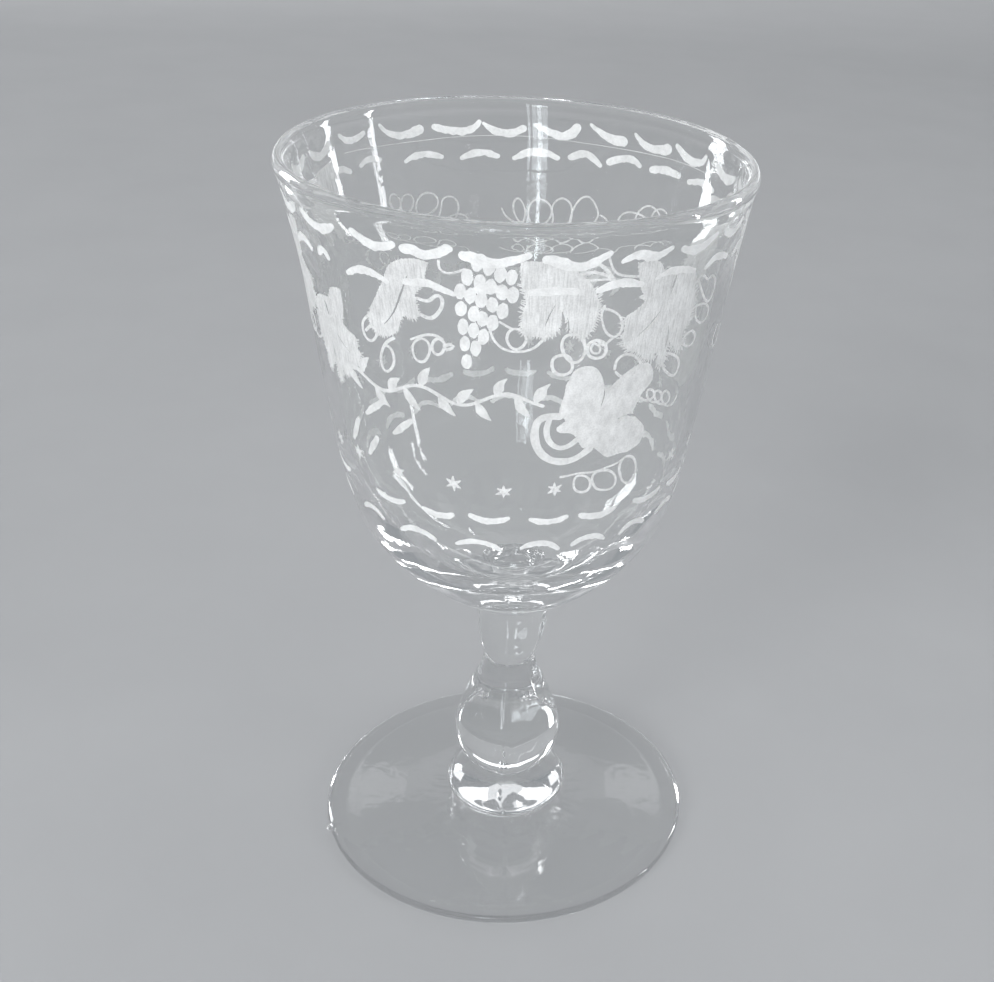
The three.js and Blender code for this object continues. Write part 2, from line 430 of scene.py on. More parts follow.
def frost(name, hatch=0.0, hatch_scale=(1, 1), grain=0.35, white=0.86):
    """Wheel-ground glass: matt and white, with the wheel's fine strokes and a cloudy depth of cut."""
    m, nodes, links = new_material(name)
    out = nodes.new("ShaderNodeOutputMaterial")
    uv = nodes.new("ShaderNodeUVMap")
    uv.uv_map = "cut"
    mp = nodes.new("ShaderNodeMapping")
    mp.inputs["Scale"].default_value = (100 * hatch_scale[0], 100 * hatch_scale[1], 1)
    links.new(uv.outputs[0], mp.inputs["Vector"])
    strokes = noise(nodes, links, mp.outputs[0], 1.0, 3, 0.6, 0.15)
    v = mm_coords(nodes, links)
    speck = noise(nodes, links, v, 3.2, 4, 0.7)
    cloud = noise(nodes, links, v, 0.35, 2, 0.5)
    s = ramp(nodes, links, strokes, [(0.34, 1 - hatch), (0.56, 1.0)])
    g = ramp(nodes, links, speck, [(0.3, 1 - grain), (0.62, 1.0)])
    c = ramp(nodes, links, cloud, [(0.3, 0.86), (0.7, 1.0)])
    a = math_node(nodes, links, "MULTIPLY", s, g)
    a = math_node(nodes, links, "MULTIPLY", a, c)
    tone = ramp(nodes, links, a, [(0.0, 0.0), (1.0, (white * 0.985, white * 0.997, white))])
    p = nodes.new("ShaderNodeBsdfPrincipled")
    links.new(tone, p.inputs["Base Color"])
    p.inputs["Specular IOR Level"].default_value = 0.35
    rough = ramp(nodes, links, speck, [(0.3, 0.55), (0.7, 0.8)])
    links.new(rough, p.inputs["Roughness"])
    b = nodes.new("ShaderNodeBump")
    b.inputs["Strength"].default_value = 0.5
    b.inputs["Distance"].default_value = 0.00004
    hsum = math_node(nodes, links, "ADD", speck, strokes)
    links.new(hsum, b.inputs["Height"])
    links.new(b.outputs["Normal"], p.inputs["Normal"])
    tl = nodes.new("ShaderNodeBsdfTranslucent")
    links.new(tone, tl.inputs["Color"])
    both = nodes.new("ShaderNodeMixShader")
    both.inputs[0].default_value = 0.3
    links.new(p.outputs[0], both.inputs[1])
    links.new(tl.outputs[0], both.inputs[2])
    links.new(both.outputs[0], out.inputs["Surface"])
    return m


TINT = (0.985, 0.990, 0.986)
M_JOINT = joint_material()
M_BOWL = glass("bowl_glass", TINT, ripple=1.0, smear=1.0)
M_NECK = glass("neck_glass", TINT, ripple=0.8, smear=0.8)
M_KNOP = glass("knop_glass", TINT, ripple=0.8, smear=0.6)
M_COLLAR = glass("collar_glass", TINT, ripple=1.4, smear=0.8)
M_FOOT = glass("foot_glass", TINT, ripple=1.0, smear=1.0, wear=True)

# ---------------------------------------------------------------- the glass
foot_run = smooth_curve(FOOT, corners=(), step=0.55, turn=6)
foot_run[:, 1] = np.maximum(foot_run[:, 1], 0)
foot_run[0, 0] = 0
collar_run = smooth_curve(COLLAR, step=0.3, turn=5)
knop_run = smooth_curve(KNOP, step=0.4, turn=5)
neck_run = smooth_curve(NECK, step=0.4, turn=5)
bowl_run = smooth_curve(BOWL_OUT + BOWL_IN, step=1.0, turn=7)
bowl_run[-1, 0] = 0

pieces = {
    "glass_foot": (revolve("glass_foot", foot_run, cap_end=True), "foot", "foot_glass", M_FOOT),
    "glass_collar": (revolve("glass_collar", collar_run, cap_start=True, cap_end=True), "basal_collar", "collar_glass", M_COLLAR),
    "glass_knop": (revolve("glass_knop", knop_run, cap_start=True, cap_end=True), "stem_knop", "knop_glass", M_KNOP),
    "glass_neck": (revolve("glass_neck", neck_run, cap_start=True, cap_end=True), "stem_neck", "neck_glass", M_NECK),
    "glass_bowl": (revolve("glass_bowl", bowl_run, cap_start=True), "bowl", "bowl_glass", M_BOWL),
}
for o, cad, slot, mat in pieces.values():
    o.data.materials.append(mat)
    o.data.materials.append(M_JOINT)
    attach(o, "root")
    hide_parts(cad)

# ---------------------------------------------------------------- engraving
_out = smooth_curve(BOWL_OUT, step=0.5, turn=4)
_cut = int(np.argmax(_out[:, 0]))
_rz = _out[: _cut + 1]
REF = 37.0  # mm of arc for one radian in the flat drawing


def surface(u, z, off):
    """A point of the bowl's outside, pushed off mm out of it. u is the arc at radius REF."""
    th = np.asarray(u) / REF
    z = np.asarray(z, float)
    r = np.interp(z, _rz[:, 1], _rz[:, 0])
    slope = (np.interp(z + 0.3, _rz[:, 1], _rz[:, 0]) - np.interp(z - 0.3, _rz[:, 1], _rz[:, 0])) / 0.6
    nn = np.sqrt(1 + slope**2)
    return place(th, r + off / nn, z - off * slope / nn, z)


def ccw(poly):
    p = np.array(poly)
    a = np.sum(p[:, 0] * np.roll(p[:, 1], -1) - np.roll(p[:, 0], -1) * p[:, 1])
    return p if a > 0 else p[::-1]


def inside(poly, pts):
    x, y = pts[:, 0], pts[:, 1]
    res = np.zeros(len(pts), bool)
    px, py = poly[:, 0], poly[:, 1]
    qx, qy = np.roll(px, -1), np.roll(py, -1)
    for a, b, c, d in zip(px, py, qx, qy):
        cross = (b > y) != (d > y)
        with np.errstate(divide="ignore", invalid="ignore"):
            at = (c - a) * (y - b) / (d - b) + a
        res ^= cross & (x < at)
    return res


def film(name, polys, mat, top=0.02, under=0.05, grid=0.85, holes=()):
    """One thin closed skin over all the flat shapes in polys, wrapped on the bowl. Shapes that cross are merged, and the shapes in holes stay clear glass."""
    polys = [ccw(p) for p in polys if len(p) >= 3]
    first_hole = len(polys)
    verts, faces = [], []
    for p in polys + [ccw(h) for h in holes]:
        faces.append(list(range(len(verts), len(verts) + len(p))))
        verts += [Vector((float(a), float(b))) for a, b in p]
    extra = []
    for p in polys:
        lo, hi = p.min(0), p.max(0)
        if min(hi - lo) < 1.6:
            continue
        gx = np.arange(math.floor(lo[0] / grid) * grid, hi[0], grid)
        gy = np.arange(math.floor(lo[1] / grid) * grid, hi[1], grid)
        g = np.stack(np.meshgrid(gx, gy), -1).reshape(-1, 2)
        g[:, 0] += (np.round(g[:, 1] / grid) % 2) * grid / 2
        g = g[inside(p, g)]
        if len(g):
            # keep the filling points away from the outline
            q = np.array(p)
            dist = np.sqrt(((g[:, None] - q[None]) ** 2).sum(-1)).min(1)
            extra += [tuple(x) for x in g[dist > 0.3]]
    extra = sorted(set((round(a, 4), round(b, 4)) for a, b in extra))
    verts += [Vector(e) for e in extra]
    co, _, tris, _, _, from_face = delaunay_2d_cdt(verts, [], faces, 1, 1e-4)
    co = np.array([(c.x, c.y) for c in co])
    flat = []
    for t, f in zip(tris, from_face):
        if not f or max(f) >= first_hole:
            continue
        a, b, c = (co[i] for i in t)
        area = 0.5 * ((b[0] - a[0]) * (c[1] - a[1]) - (c[0] - a[0]) * (b[1] - a[1]))
        if abs(area) < 1e-7:
            continue
        flat.append(tuple(t) if area > 0 else tuple(reversed(t)))
    used = sorted({i for t in flat for i in t})
    new = {i: k for k, i in enumerate(used)}
    flat = [tuple(new[i] for i in t) for t in flat]
    co = co[used]
    n = len(co)
    hi_co = surface(co[:, 0], co[:, 1], top)
    lo_co = surface(co[:, 0], co[:, 1], -under)
    seen = {}
    for t in flat:
        for a, b in ((t[0], t[1]), (t[1], t[2]), (t[2], t[0])):
            seen[(a, b)] = seen.get((a, b), 0) + 1
    rim = [(a, b) for (a, b) in seen if (b, a) not in seen]
    faces3 = [t for t in flat] + [tuple(i + n for i in reversed(t)) for t in flat]
    faces3 += [(b, a, a + n, b + n) for a, b in rim]
    me = bpy.data.meshes.new(name)
    me.from_pydata([tuple(c * MM) for c in np.concatenate([hi_co, lo_co])], [], faces3)
    uv = me.uv_layers.new(name="cut")
    loops = np.zeros(len(me.loops), np.int32)
    me.loops.foreach_get("vertex_index", loops)
    flat_uv = np.concatenate([co, co])[loops] * 0.01
    uv.data.foreach_set("uv", flat_uv.astype(np.float32).ravel())
    smooth = np.ones(len(faces3), bool)
    me.polygons.foreach_set("use_smooth", smooth)
    edges = {tuple(sorted(e)) for e in rim} | {tuple(sorted((a + n, b + n))) for a, b in rim}
    keys = np.zeros(len(me.edges) * 2, np.int32)
    me.edges.foreach_get("vertices", keys)
    att = me.attributes.new("sharp_edge", "BOOLEAN", "EDGE")
    att.data.foreach_set("value", [tuple(sorted(k)) in edges for k in keys.reshape(-1, 2).tolist()])
    me.validate()
    o = link(name, me)
    o.data.materials.append(mat)
    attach(o, "root")
    return o


def arc(deg):
    return math.radians(deg) * REF


def flat_path(points):
    return np.array([(arc(a), z) for a, z in points], float)


def through(points, step=0.45, closed=False):
    """Even points on a smooth line through the given ones."""
    p = np.array(points, float)
    if closed:
        k = 3
        p = np.concatenate([p[-k:], p, p[:k]])
    t = np.r_[0, np.cumsum(np.sqrt(np.maximum(np.linalg.norm(np.diff(p, axis=0), axis=1), 1e-6)))]
    a, b = (t[3], t[-3]) if closed else (0, t[-1])
    tt = np.linspace(a, b, 800)
    c = np.stack([cubic(t, p[:, k], tt) for k in range(2)], 1)
    s = np.r_[0, np.cumsum(np.linalg.norm(np.diff(c, axis=0), axis=1))]
    n = max(3, int(s[-1] / step) + 1)
    at = np.linspace(0, s[-1], n)
    return np.stack([np.interp(at, s, c[:, k]) for k in range(2)], 1)


def ribbon(points, width, step=0.42, taper=0.0, seed=0, ends=True, vary=0.16):
    """A stroke of the wheel: a list of small four-sided shapes along a line, with round ends."""
    c = through(points, step)
    r = np.random.default_rng(seed + 5)
    n = len(c)
    d = np.gradient(c, axis=0)
    d /= np.maximum(np.linalg.norm(d, axis=1), 1e-9)[:, None]
    nrm = np.stack([-d[:, 1], d[:, 0]], 1)
    w = np.full(n, width / 2)
    knots = r.uniform(1 - vary, 1 + vary, max(4, n // 4))
    w *= np.interp(np.linspace(0, len(knots) - 1, n), np.arange(len(knots)), knots)
    if taper:
        t = np.linspace(0, 1, n)
        w *= 1 - taper * np.abs(2 * t - 1) ** 2.5
    a, b = c + nrm * w[:, None], c - nrm * w[:, None]
    out = [np.array([b[i], b[i + 1], a[i + 1], a[i]]) for i in range(n - 1)]
    if ends:
        for k in (0, n - 1):
            ang = np.linspace(0, 2 * math.pi, 10, endpoint=False) + 0.31
            out.append(c[k] + w[k] * 0.985 * np.stack([np.cos(ang), np.sin(ang)], 1))
    return out


def blade(points, half, seed=0):
    """A closed outline around a short centre line, with the half widths given along it."""
    c = through(points, 0.3)
    n = len(c)
    t = np.linspace(0, 1, n)
    r = np.random.default_rng(seed + 11)
    w = np.interp(t, np.linspace(0, 1, len(half)), half)
    d = np.gradient(c, axis=0)
    d /= np.linalg.norm(d, axis=1)[:, None]
    nrm = np.stack([-d[:, 1], d[:, 0]], 1)
    long = float(np.linalg.norm(np.diff(c, axis=0), axis=1).sum())
    m = max(5, int(long / 0.7))
    k1 = np.interp(t, np.linspace(0, 1, m), r.uniform(0.84, 1.16, m))
    k2 = np.interp(t, np.linspace(0, 1, m), r.uniform(0.84, 1.16, m))
    # the wheel leaves a clean upper edge and a frayed lower one
    fine = max(6, int(long / 0.42))
    frayed = np.sin(math.pi * t) ** 0.4
    f1, f2 = (np.interp(t, np.linspace(0, 1, fine), r.uniform(-0.5, 1, fine)) * frayed for _ in range(2))
    up = 1 if nrm[:, 1].sum() > 0 else -1
    small = min(1.0, float(np.max(w)) / 0.6)
    a = c + nrm * np.maximum(w * k1 + f1 * small * (0.05 if up > 0 else 0.17), 0.04)[:, None]
    b = c - nrm * np.maximum(w * k2 + f2 * small * (0.17 if up > 0 else 0.05), 0.04)[:, None]
    ang0 = math.atan2(-d[0][1], -d[0][0])
    cap0 = [c[0] + w[0] * np.array([math.cos(ang0 + s), math.sin(ang0 + s)]) for s in np.linspace(-1.1, 1.1, 5)]
    ang1 = math.atan2(d[-1][1], d[-1][0])
    cap1 = [c[-1] + w[-1] * np.array([math.cos(ang1 + s), math.sin(ang1 + s)]) for s in np.linspace(-1.1, 1.1, 5)]
    return np.array(list(b) + cap1 + list(a[::-1]) + cap0)


def serrate(points, tooth=0.5, pitch=0.55, down=0.0, seed=0, where=lambda x, z: 1.0):
    """A leaf's outline with small teeth."""
    c = through(list(points) + [points[0]], pitch / 2)[:-1]
    d = np.roll(c, -1, 0) - np.roll(c, 1, 0)
    d /= np.maximum(np.linalg.norm(d, axis=1), 1e-9)[:, None]
    area = np.sum(c[:, 0] * np.roll(c[:, 1], -1) - np.roll(c[:, 0], -1) * c[:, 1])
    nrm = np.stack([d[:, 1], -d[:, 0]], 1) * (1 if area > 0 else -1)
    r = np.random.default_rng(seed + 3)
    out = c.copy()
    for i in range(0, len(c) - 1, 2):
        push = tooth * r.uniform(0.35, 1.15) * where(c[i][0], c[i][1])
        out[i] = c[i] + nrm[i] * push + np.array([0, -down * push])
    return out


def ellipse(u, z, a, b, tilt=0.0, n=18, seed=None):
    ang = np.linspace(0, 2 * math.pi, n, endpoint=False)
    p = np.stack([a * np.cos(ang), b * np.sin(ang)], 1)
    if seed is not None:
        p *= np.random.default_rng(seed).uniform(0.94, 1.06, (n, 1))
    c, s = math.cos(tilt), math.sin(tilt)
    return p @ np.array([[c, s], [-s, c]]) + np.array([u, z])


# Angles are degrees from the front of the glass towards +X, heights are mm.
# Strokes of the upper border that are drawn one by one: centre line, then half widths along it.
SMILES = [
    ([(-38.6, 139.8), (-34.5, 138.6), (-31.0, 138.4), (-27.9, 139.3)], [0.6, 0.8, 0.75, 0.6]),
    ([(-25.1, 138.9), (-23.4, 139.0), (-20.0, 138.5), (-17.2, 139.2), (-14.8, 140.1)], [0.75, 1.0, 0.68, 0.8, 0.75]),
    ([(-11.3, 139.2), (-9.6, 139.0), (-5.5, 138.3), (-1.8, 138.7), (2.4, 139.9)], [0.85, 1.05, 0.7, 0.72, 0.5]),
    ([(6.4, 139.2), (8.2, 139.0), (12.2, 138.0), (15.8, 138.2), (20.0, 139.9)], [0.8, 1.0, 0.66, 0.7, 0.5]),
    ([(23.4, 138.2), (27.3, 139.1), (31.3, 138.4), (35.8, 139.3)], [0.35, 0.85, 0.72, 0.45]),
    ([(39.6, 138.7), (42.5, 138.0), (46.5, 138.1), (51.0, 139.4)], [0.55, 0.78, 0.75, 0.5]),
    ([(236.6, 140.4), (232.9, 139.0), (227.6, 139.8)], [0.4, 0.62, 0.5]),
    ([(221.6, 140.7), (219.6, 139.2), (215.4, 138.2), (209.4, 138.9)], [0.3, 0.55, 0.72, 1.0]),
    ([(204.6, 139.2), (198.8, 138.2), (193.6, 138.5), (191.6, 139.8)], [0.6, 0.8, 0.75, 0.45]),
    ([(190.3, 139.5), (188.0, 138.4), (183.2, 137.7), (179.2, 138.7)], [0.35, 0.66, 0.78, 0.7]),
    ([(175.8, 139.5), (172.8, 138.7), (168.4, 137.8), (165.2, 138.4), (163.8, 139.7)], [0.4, 0.62, 0.75, 0.85, 0.8]),
    ([(159.8, 140.6), (156.5, 139.3), (153.1, 138.5), (149.6, 138.3)], [0.28, 0.6, 0.78, 1.0]),
    ([(145.9, 140.2), (142.9, 138.7), (139.2, 138.2), (134.4, 138.8)], [0.28, 0.7, 0.8, 1.0]),
    ([(131.2, 140.0), (128.0, 138.7), (124.2, 138.1), (120.0, 138.7), (118.9, 139.9)], [0.45, 0.72, 0.74, 0.7, 0.45]),
]
FROWNS = [
    ([(-42.8, 131.9), (-39.3, 133.1), (-35.2, 133.4), (-30.8, 132.5)], [0.45, 0.66, 0.7, 0.45]),
    ([(-26.0, 133.1), (-20.3, 133.5), (-16.9, 132.9), (-14.4, 132.3)], [0.5, 0.75, 0.66, 0.4]),
    ([(-11.1, 132.8), (-8.8, 133.5), (-5.6, 133.9), (-2.6, 133.6), (-0.7, 132.7)], [0.45, 0.6, 0.72, 0.65, 0.42]),
    ([(3.2, 133.5), (8.1, 133.8), (13.0, 133.6)], [0.6, 0.7, 0.6]),
    ([(18.3, 133.5), (21.7, 134.3), (25.2, 134.4), (29.0, 133.7)], [0.5, 0.7, 0.72, 0.5]),
    ([(33.0, 134.3), (36.2, 135.0), (40.2, 134.9), (44.9, 134.0)], [0.3, 0.6, 0.7, 0.5]),
    ([(49.8, 133.7), (53.5, 134.9), (59.8, 133.9)], [0.45, 0.7, 0.5]),
    ([(230.4, 134.0), (227.5, 134.8), (223.2, 134.3)], [0.4, 0.6, 0.5]),
    ([(214.6, 133.2), (211.3, 134.0), (206.5, 134.0), (203.2, 133.4)], [0.4, 0.66, 0.62, 0.45]),
    ([(197.2, 132.9), (193.8, 133.7), (190.2, 133.9), (186.6, 133.2)], [0.4, 0.66, 0.66, 0.5]),
    ([(181.6, 132.9), (177.2, 134.1), (173.0, 134.2), (169.0, 133.4)], [0.5, 0.7, 0.7, 0.5]),
    ([(165.1, 133.8), (161.7, 134.8), (158.2, 134.2), (156.0, 133.0)], [0.6, 0.76, 0.7, 0.48]),
    ([(153.2, 133.9), (148.6, 135.1), (145.4, 135.1), (143.2, 134.4)], [0.64, 0.76, 0.7, 0.5]),
    ([(138.8, 134.2), (134.9, 134.8), (128.6, 134.6)], [0.64, 0.76, 0.6]),
    ([(124.0, 134.2), (117.6, 135.1), (112.0, 134.7)], [0.5, 0.66, 0.55]),
]
# The rest of the borders, where each stroke goes from one angle to the other.
SMILES_ROUND = [(54.2, 65.6), (68.2, 81.0), (84.0, 96.0), (99.5, 112.6), (241.0, 252.3), (255.4, 267.6), (270.8, 283.0), (286.0, 298.2), (301.4, 315.6)]
FROWNS_ROUND = [(305.8, 311.0), (64.0, 75.6), (79.3, 91.7), (95.9, 108.0), (234.4, 245.3), (249.0, 260.4), (264.3, 275.8), (279.6, 291.0), (294.0, 303.3)]
LOW_UP = [(-46.3, -34.1), (-28.0, -17.5), (-12.9, -0.5), (4.9, 17.0), (20.4, 33.6), (40.1, 53.4), (57.6, 69.4), (73.6, 85.9), (90.1, 101.9), (106.6, 118.4), (122.6, 134.9), (139.1, 150.9), (155.1, 167.4), (171.6, 183.9), (188.1, 199.9), (204.1, 216.4), (220.6, 232.4), (236.6, 248.9), (253.1, 264.9), (269.1, 280.9), (285.1, 297.9)]
LOW_DN = [(-57.0, -45.4), (-38.5, -24.5), (-18.0, -2.9), (2.6, 15.4), (19.1, 31.5), (37.0, 48.6), (54.6, 67.4), (72.1, 84.9), (89.6, 102.4), (107.1, 119.4), (124.6, 136.9), (141.6, 154.4), (159.1, 171.9), (176.6, 189.4), (194.1, 206.4), (211.1, 223.9), (228.6, 240.9), (245.6, 257.9), (263.1, 275.4), (280.1, 292.4)]


def dash(a0, a1, z, rise, half, seed, lean=0.0):
    """One short stroke of a border: its ends turn up by rise, or down if that is below zero."""
    r = np.random.default_rng(seed)
    t = np.linspace(-1, 1, 9)
    trim = math.degrees(half * 0.6 / REF)
    u = arc(a0 + trim) + (arc(a1 - trim) - arc(a0 + trim)) * (t + 1) / 2
    left, right = r.uniform(0.7, 1.25, 2)
    y = z + rise * np.where(t < 0, left, right) * np.abs(t) ** 2.1 + lean * t + r.uniform(-0.22, 0.22)
    h = np.array([0.62, 0.95, 1.06, 1.1, 1.0, 0.98, 1.02, 0.98, 0.8]) * half * r.uniform(0.88, 1.08)
    if r.random() < 0.45:
        h = h[::-1]
    return blade(np.stack([u, y], 1), h, seed)


bands = []
for i, (pts, half) in enumerate(SMILES + FROWNS):
    bands.append(blade(np.array([(arc(a), z) for a, z in pts]), half, 40 + i))
for i, (a, b) in enumerate(SMILES_ROUND):
    bands.append(dash(a, b, 138.3, 1.25, 0.8, 100 + i))
for i, (a, b) in enumerate(FROWNS_ROUND):
    bands.append(dash(a, b, 134.4, -1.0, 0.66, 200 + i))
for i, (a, b) in enumerate(LOW_UP):
    bands.append(dash(a, b, 88.7, 0.75, 0.6, 300 + i))
for i, (a, b) in enumerate(LOW_DN):
    bands.append(dash(a, b, 84.1, -1.3, 0.54, 400 + i))

# Leaves of the vine: outline, narrow clear veins, and where the wheel has left fine barbs (a test on angle and height, and which way they point).
LEAF_A = [(0.8, 138.6), (0.7, 136.5), (1.3, 134.3), (2.1, 132.0), (1.5, 130.3), (1.2, 128.6), (1.1, 127.2), (2.0, 126.0), (3.9, 125.8), (6.1, 125.6), (8.0, 125.7), (9.1, 126.6), (9.9, 128.0), (10.3, 129.0), (11.1, 129.1), (11.8, 127.9), (12.5, 126.8), (13.7, 125.8), (15.4, 125.2), (16.5, 125.4), (17.6, 126.5), (18.2, 127.6), (18.7, 129.0), (18.8, 130.7), (18.2, 132.2), (17.2, 133.7), (15.8, 135.2), (13.8, 136.5), (12.6, 137.4), (11.4, 138.0), (9.2, 138.3), (6.5, 138.6), (3.2, 138.9)]
VEINS_A = [[(10.2, 126.6), (10.6, 128.0), (10.2, 130.0)], [(11.9, 126.0), (12.0, 127.3), (11.5, 128.9)], [(6.4, 127.6), (7.4, 129.6), (8.6, 131.4)]]
LEAF_B = [(27.3, 137.6), (28.0, 135.4), (28.8, 133.4), (29.7, 132.2), (31.0, 130.8), (29.4, 129.4), (27.9, 128.7), (26.2, 128.1), (26.3, 126.7), (26.4, 125.5), (25.5, 124.6), (26.3, 123.8), (27.2, 122.6), (29.2, 121.5), (31.7, 120.8), (32.9, 119.9), (34.3, 119.3), (35.9, 119.0), (36.6, 119.9), (37.3, 120.2), (38.6, 118.3), (40.1, 117.0), (40.7, 117.6), (40.8, 119.2), (40.9, 120.8), (41.6, 121.7), (43.1, 120.6), (45.3, 119.3), (46.6, 119.7), (46.2, 121.2), (46.4, 122.6), (47.1, 123.9), (47.9, 125.4), (48.1, 127.1), (47.5, 129.2), (46.6, 131.7), (45.7, 133.6), (42.4, 134.9), (37.9, 135.0), (35.1, 135.4), (33.6, 136.9), (30.4, 137.7)]
VEINS_B = [[(39.2, 134.0), (38.8, 132.8), (38.5, 130.8)], [(39.9, 124.6), (40.3, 122.9), (40.2, 120.6)], [(36.2, 128.0), (33.4, 125.8), (30.2, 124.0)]]
LEAF_C = [(13.5, 117.6), (14.2, 119.0), (16.1, 119.7), (18.6, 119.7), (20.4, 118.9), (21.7, 117.6), (22.4, 116.3), (23.2, 115.3), (24.2, 115.1), (25.4, 115.7), (27.1, 116.7), (29.2, 117.7), (31.9, 118.5), (34.4, 118.6), (36.2, 117.9), (37.4, 116.5), (37.6, 114.9), (36.6, 113.9), (35.0, 112.9), (33.8, 111.5), (33.3, 110.3), (32.8, 109.4), (34.9, 107.6), (37.0, 106.3), (38.1, 104.8), (37.9, 103.5), (37.1, 102.3), (35.0, 101.7), (33.4, 101.3), (30.7, 101.4), (28.1, 101.2), (26.0, 101.4), (23.8, 102.7), (21.6, 103.9), (20.4, 104.4), (19.3, 103.8), (17.7, 104.9), (15.7, 106.8), (13.4, 107.3), (11.7, 107.5), (11.0, 108.2), (12.4, 109.1), (13.2, 109.7), (11.8, 110.7), (11.4, 111.9), (11.9, 113.4), (12.4, 114.9), (12.5, 116.1), (12.8, 117.0)]
VEINS_C = [[(35.3, 108.3), (31.9, 108.9), (29.8, 109.0), (28.3, 108.7)], [(22.9, 115.6), (23.1, 113.8), (22.4, 111.4)]]
LEAF_LEFT = [(-19.6, 137.2), (-20.5, 135.5), (-21.5, 133.5), (-23.2, 131.9), (-23.9, 130.7), (-23.7, 129.2), (-23.5, 127.7), (-24.5, 126.8), (-26.1, 126.8), (-27.3, 127.0), (-28.7, 125.9), (-29.5, 124.5), (-30.6, 123.5), (-32.9, 122.5), (-35.8, 122.3), (-37.6, 123.1), (-38.3, 124.4), (-37.1, 126.8), (-35.2, 128.8), (-33.3, 130.9), (-31.6, 132.9), (-30.1, 134.9), (-28.3, 136.2), (-25.6, 137.1), (-22.4, 137.5)]
VEINS_LEFT = [[(-25.2, 134.2), (-27.6, 130.6), (-30.8, 126.6), (-33.6, 124.4)]]

grown = {"leaf": [], "vein": [], "barb": [], "soft": [], "soft_vein": []}


def barbs(outline, test, push, length, seed, pitch=0.42):
    """Fine single strokes that stick out of an outline."""
    c = through(list(outline) + [outline[0]], pitch)[:-1]
    d = np.roll(c, -1, 0) - np.roll(c, 1, 0)
    d /= np.maximum(np.linalg.norm(d, axis=1), 1e-9)[:, None]
    area = np.sum(c[:, 0] * np.roll(c[:, 1], -1) - np.roll(c[:, 0], -1) * c[:, 1])
    nrm = np.stack([d[:, 1], -d[:, 0]], 1) * (1 if area > 0 else -1)
    r = np.random.default_rng(seed + 23)
    out = []
    for p, n in zip(c, nrm):
        if not test(p[0], p[1], n) or r.random() < 0.08:
            continue
        v = n * 0.75 + np.array(push(p[0], p[1])) + r.uniform(-0.18, 0.18, 2)
        v /= np.linalg.norm(v)
        ln = length * r.uniform(0.55, 1.25)
        p = p + r.uniform(-0.08, 0.08, 2)
        side = np.array([-v[1], v[0]])
        w = r.uniform(0.12, 0.17)
        out.append(np.array([p - v * 0.5 - side * w, p + v * ln * 0.55 - side * w * 0.8, p + v * ln - side * 0.03, p + v * ln + side * 0.03, p + v * ln * 0.55 + side * w * 0.8, p - v * 0.5 + side * w]))
    return out


def leaf(outline, veins, kind, seed, at=None, flip=False, size=1.0, turn=0.0, barb=0.0, vein=0.16):
    """Puts a leaf where it is drawn, or a copy of it round the bowl."""
    flat = flat_path(outline)
    c = (flat.max(0) + flat.min(0)) / 2
    goal = np.array([arc(at[0]), at[1]]) if at else c

    def move(q):
        q = (np.array(q) - c) * size
        if flip:
            q = q * np.array([-1, 1])
        cs, sn = math.cos(turn), math.sin(turn)
        return q @ np.array([[cs, sn], [-sn, cs]]) + goal

    edge = move(flat)
    shape = serrate(edge, tooth=0.2 if barb else 0.1, pitch=0.7, down=0.3 if barb else 0, seed=seed)
    grown["leaf" if kind == "hatch" else "soft"].append(shape)
    for k, v in enumerate(veins):
        w = vein * 0.6 if k else vein * 1.4
        grown["vein" if kind == "hatch" else "soft_vein"].append(blade(move(flat_path(v)), [w * 0.35, w, w * 0.8, w * 0.3], seed + k))
    if barb:
        low = edge[:, 1].min()
        high = edge[:, 1].max()
        cx = (edge[:, 0].max() + edge[:, 0].min()) / 2
        grown["barb"] += barbs(
            edge,
            lambda x, z, n: z < low + (high - low) * 0.72 and (n[1] < 0.45),
            lambda x, z: (0.25 * (1 if x > cx else -1), -0.55 if z < low + 4.5 * size else 0.35),
            barb,
            seed,
        )


leaf(LEAF_A, VEINS_A, "hatch", 1, barb=0.85)
leaf(LEAF_B, VEINS_B, "hatch", 2, barb=1.15)
leaf(LEAF_C, VEINS_C, "soft", 8, vein=0.18)
leaf(LEAF_LEFT, VEINS_LEFT, "hatch", 3, barb=0.5, vein=0.12)
leaf(LEAF_B, VEINS_B, "hatch", 4, at=(-53.5, 118.5), flip=True, size=0.86, turn=0.15, barb=0.8)
leaf(LEAF_A, VEINS_A, "hatch", 6, at=(249, 129.5), barb=0.85)
leaf(LEAF_B, VEINS_B, "hatch", 7, at=(286, 126.5), flip=True, barb=1.0)
leaf(LEAF_B, VEINS_B, "hatch", 9, at=(105, 126.5), barb=1.0)
leaf(LEAF_C, VEINS_C, "soft", 12, at=(262, 107.5), flip=True)
leaf(LEAF_C, VEINS_C, "soft", 13, at=(96, 107.5))

GRAPES = [(-12.9, 129.8), (-10.0, 129.2), (-7.9, 128.5), (-5.6, 127.9), (-3.2, 130.1), (-12.6, 126.7), (-10.1, 126.2), (-7.8, 125.3), (-12.4, 123.6), (-9.7, 123.1), (-12.0, 120.4), (-12.8, 132.9), (-10.5, 132.3), (-8.1, 131.7), (-5.6, 131.1), (-3.4, 133.3), (-10.9, 135.5), (-8.2, 134.9), (-5.8, 134.3), (-3.6, 136.5), (-8.6, 138.0), (-6.0, 137.5), (-1.0, 133.0), (-1.2, 136.1)]


